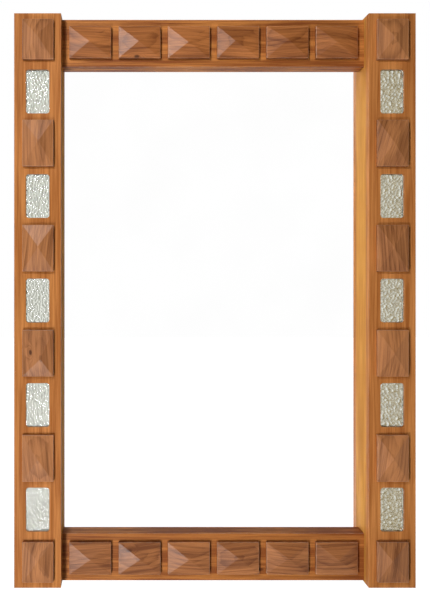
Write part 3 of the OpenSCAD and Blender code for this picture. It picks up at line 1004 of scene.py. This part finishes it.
class WALLMIRROR_OT_stage(bpy.types.Operator):
    """Makes the camera, two soft lamps, a pale floor and the studio round the mirror"""

    bl_idname = "wall_mirror.stage"
    bl_label = "Stage"

    # The camera looks square at the wall from left of the middle. Its lens is shifted to frame
    # the mirror, as the photograph's straight and level edges show
    LENS, SENSOR = 42.94, 36.0
    SHIFT = (0.16, -0.0393)
    CAMERA = (-0.2078, -1.6215, 0.0523)
    # Two softboxes stand left of the camera. Each is placed, and aimed at one half of the mirror
    LAMPS = (
        ((-0.82, -1.61, 0.99), (0.05, -0.07, 0.42)),
        ((-0.82, -1.61, -0.95), (0.05, -0.07, -0.42)),
    )
    LAMP_SPREAD = math.radians(90)
    # The room gives little light from the front, and more from the wall's side. They meet where a
    # direction's part straight ahead is nearer to 0 than this
    FRONT_AMBIENT, BACK_AMBIENT, SIDEWAYS = 0.08, 0.62, 0.3
    FLOOR_GLOW = 0.80
    FLOOR_SIZE = 30.0
    # A white screen in front of the mirror fills what the plate shows. Each soft edge is two slopes,
    # sideways or up over ahead: the screen starts at the first and is full at the second
    SCREEN_LEFT, SCREEN_RIGHT = (-0.125, -0.085), (0.40, 0.342)
    SCREEN_BOTTOM, SCREEN_TOP = (-0.50, -0.335), (0.60, 0.265)
    # Rays through the hammered glass see this softer right edge
    SCREEN_RIGHT_SOFT = (0.62, -0.05)
    # The walls beyond it are a pale grey on the left, cream further out, and brown on the right.
    # Each colour goes over into the next between two slopes
    WHITE, PALE_GREY, CREAM, BROWN = (
        (1.0, 1.0, 1.0), (0.64, 0.64, 0.59), (0.98, 0.94, 0.83), (0.44, 0.335, 0.165))
    GREY_TO_BROWN, GREY_TO_CREAM = (0.0, 0.3), (-0.40, -0.60)
    # Dim patches lie on the walls, so many to a radian and down to this brightness
    PATCHES, DIMMEST = 8.0, 0.6

    def execute(self, context):
        scene = context.scene
        scene.view_settings.view_transform = "Standard"
        self.camera(scene)
        self.lamps()
        self.floor()
        self.studio(scene)
        return {"FINISHED"}

    def camera(self, scene):
        data = bpy.data.cameras.new("camera")
        data.lens, data.sensor_width, data.sensor_fit = self.LENS, self.SENSOR, "AUTO"
        data.shift_x, data.shift_y = self.SHIFT
        camera = new_object("camera", data)
        camera.location = self.CAMERA
        camera.rotation_euler = (math.pi / 2, 0, 0)
        scene.camera = camera

    def lamps(self):
        for i, (place, aim) in enumerate(self.LAMPS, 1):
            data = bpy.data.lights.new(f"lamp_{i}", "AREA")
            data.shape, data.size, data.energy = "SQUARE", sizes().lamp_size, sizes().lamp_power
            data.spread = self.LAMP_SPREAD
            lamp = new_object(f"lamp_{i}", data)
            lamp.location = place
            lamp.rotation_euler = (Vector(aim) - Vector(place)).to_track_quat("-Z", "Y").to_euler()
            lamp.visible_camera = lamp.visible_transmission = False

    def floor(self):
        half, level = self.FLOOR_SIZE / 2, cad_box[0].z - sizes().floor_drop
        mesh = bpy.data.meshes.new("floor")
        corners = [(x * half, y * half, level) for x, y in ((-1, -1), (1, -1), (1, 1), (-1, 1))]
        mesh.from_pydata(corners, [], [(0, 1, 2, 3)])
        material = bpy.data.materials.new("floor")
        material.use_nodes = True
        tree = material.node_tree
        tree.nodes.clear()
        pale = put(tree, "ShaderNodeBsdfDiffuse", {"Color": (*colours().floor, 1.0)})
        glow = put(tree, "ShaderNodeEmission",
                   {"Strength": maths(tree, "MULTIPLY", self.seen(tree), self.FLOOR_GLOW)})
        both = put(tree, "ShaderNodeAddShader", {0: pale.outputs[0], 1: glow.outputs[0]})
        put(tree, "ShaderNodeOutputMaterial", {"Surface": both.outputs[0]})
        mesh.materials.append(material)
        floor = new_object("floor", mesh)
        floor.visible_transmission = False

    def studio(self, scene):
        world = bpy.data.worlds.new("studio")
        world.use_nodes = True
        tree = world.node_tree
        tree.nodes.clear()
        way = tree.nodes.new("ShaderNodeTexCoord").outputs["Generated"]
        ahead = vectors(tree, "DOT_PRODUCT", way, (0.0, -1.0, 0.0))
        aside, up = (maths(tree, "DIVIDE", vectors(tree, "DOT_PRODUCT", way, axis), ahead)
                     for axis in ((1.0, 0.0, 0.0), (0.0, 0.0, 1.0)))
        path = tree.nodes.new("ShaderNodeLightPath").outputs
        screen = self.screen(tree, ahead, aside, up, path["Is Transmission Ray"])
        white = maths(tree, "MAXIMUM", screen, path["Is Camera Ray"])
        shown = blend(tree, white, self.walls(tree, way, aside), self.WHITE)
        studio = put(tree, "ShaderNodeBackground", {"Color": shown})
        facing = fade(tree, ahead, -self.SIDEWAYS, self.SIDEWAYS, self.BACK_AMBIENT, self.FRONT_AMBIENT)
        soft = put(tree, "ShaderNodeBackground", {"Color": (*self.WHITE, 1.0), "Strength": facing})
        mixed = put(tree, "ShaderNodeMixShader",
                    {0: self.seen(tree), 1: soft.outputs[0], 2: studio.outputs[0]})
        put(tree, "ShaderNodeOutputWorld", {"Surface": mixed.outputs[0]})
        scene.world = world

    def screen(self, tree, ahead, aside, up, glass):
        """How much of the white screen shows in a direction. Glass is 1 for rays through it"""
        right = [maths(tree, "MULTIPLY_ADD", glass, soft - plain, plain)
                 for plain, soft in zip(self.SCREEN_RIGHT, self.SCREEN_RIGHT_SOFT)]
        screen = maths(tree, "GREATER_THAN", ahead, 0.0)
        for slope, edge in ((aside, self.SCREEN_LEFT), (aside, right),
                            (up, self.SCREEN_BOTTOM), (up, self.SCREEN_TOP)):
            screen = maths(tree, "MULTIPLY", screen, fade(tree, slope, *edge))
        return screen

    def walls(self, tree, way, aside):
        """The studio's walls, in colours that change sideways and with dimmer patches"""
        walls = blend(tree, fade(tree, aside, *self.GREY_TO_BROWN), self.PALE_GREY, self.BROWN)
        walls = blend(tree, fade(tree, aside, *self.GREY_TO_CREAM), walls, self.CREAM)
        patches = clouds(tree, way, self.PATCHES)
        return scaled(tree, walls, fade(tree, patches, 0.38, 0.62, self.DIMMEST))

    def seen(self, tree):
        """1 for rays that show the surroundings: those seen directly, in a gloss or through glass.
        What the mirror throws onto a dull surface is light, and stays as dim as the room"""
        path = tree.nodes.new("ShaderNodeLightPath").outputs
        shown = maths(tree, "MAXIMUM", path["Is Camera Ray"], path["Is Glossy Ray"])
        shown = maths(tree, "MAXIMUM", shown, path["Is Transmission Ray"])
        before_dull = maths(tree, "LESS_THAN", path["Diffuse Depth"], 0.5)
        return maths(tree, "MULTIPLY", shown, before_dull)


OPERATORS = (
    WALLMIRROR_OT_boards, WALLMIRROR_OT_blocks, WALLMIRROR_OT_windows, WALLMIRROR_OT_plate,
    WALLMIRROR_OT_back, WALLMIRROR_OT_hangers, WALLMIRROR_OT_bumpers, WALLMIRROR_OT_screws,
    WALLMIRROR_OT_stage,
)


class WALLMIRROR_PT_panel(bpy.types.Panel):
    """Lists the mirror's pieces, sizes and colours"""

    bl_idname = "WALLMIRROR_PT_panel"
    bl_label = "Wall Mirror"
    bl_space_type = "VIEW_3D"
    bl_region_type = "UI"
    bl_category = "Wall Mirror"

    def draw(self, context):
        layout = self.layout
        for heading, group in (("Sizes", sizes()), ("Colours", colours())):
            box = layout.box()
            box.label(text=heading)
            for name in group.__annotations__:
                box.prop(group, name)
        for operator in OPERATORS:
            layout.operator(operator.bl_idname)


CLASSES = (MirrorSizes, MirrorColours, *OPERATORS, WALLMIRROR_PT_panel)


def register():
    for item in CLASSES:
        bpy.utils.register_class(item)
    bpy.types.Scene.mirror_sizes = PointerProperty(type=MirrorSizes)
    bpy.types.Scene.mirror_colours = PointerProperty(type=MirrorColours)


def unregister():
    del bpy.types.Scene.mirror_colours
    del bpy.types.Scene.mirror_sizes
    for item in reversed(CLASSES):
        bpy.utils.unregister_class(item)


def main():
    register()
    for operator in OPERATORS:
        group, name = operator.bl_idname.split(".")
        getattr(getattr(bpy.ops, group), name)()


if __name__ == "__main__":
    main()
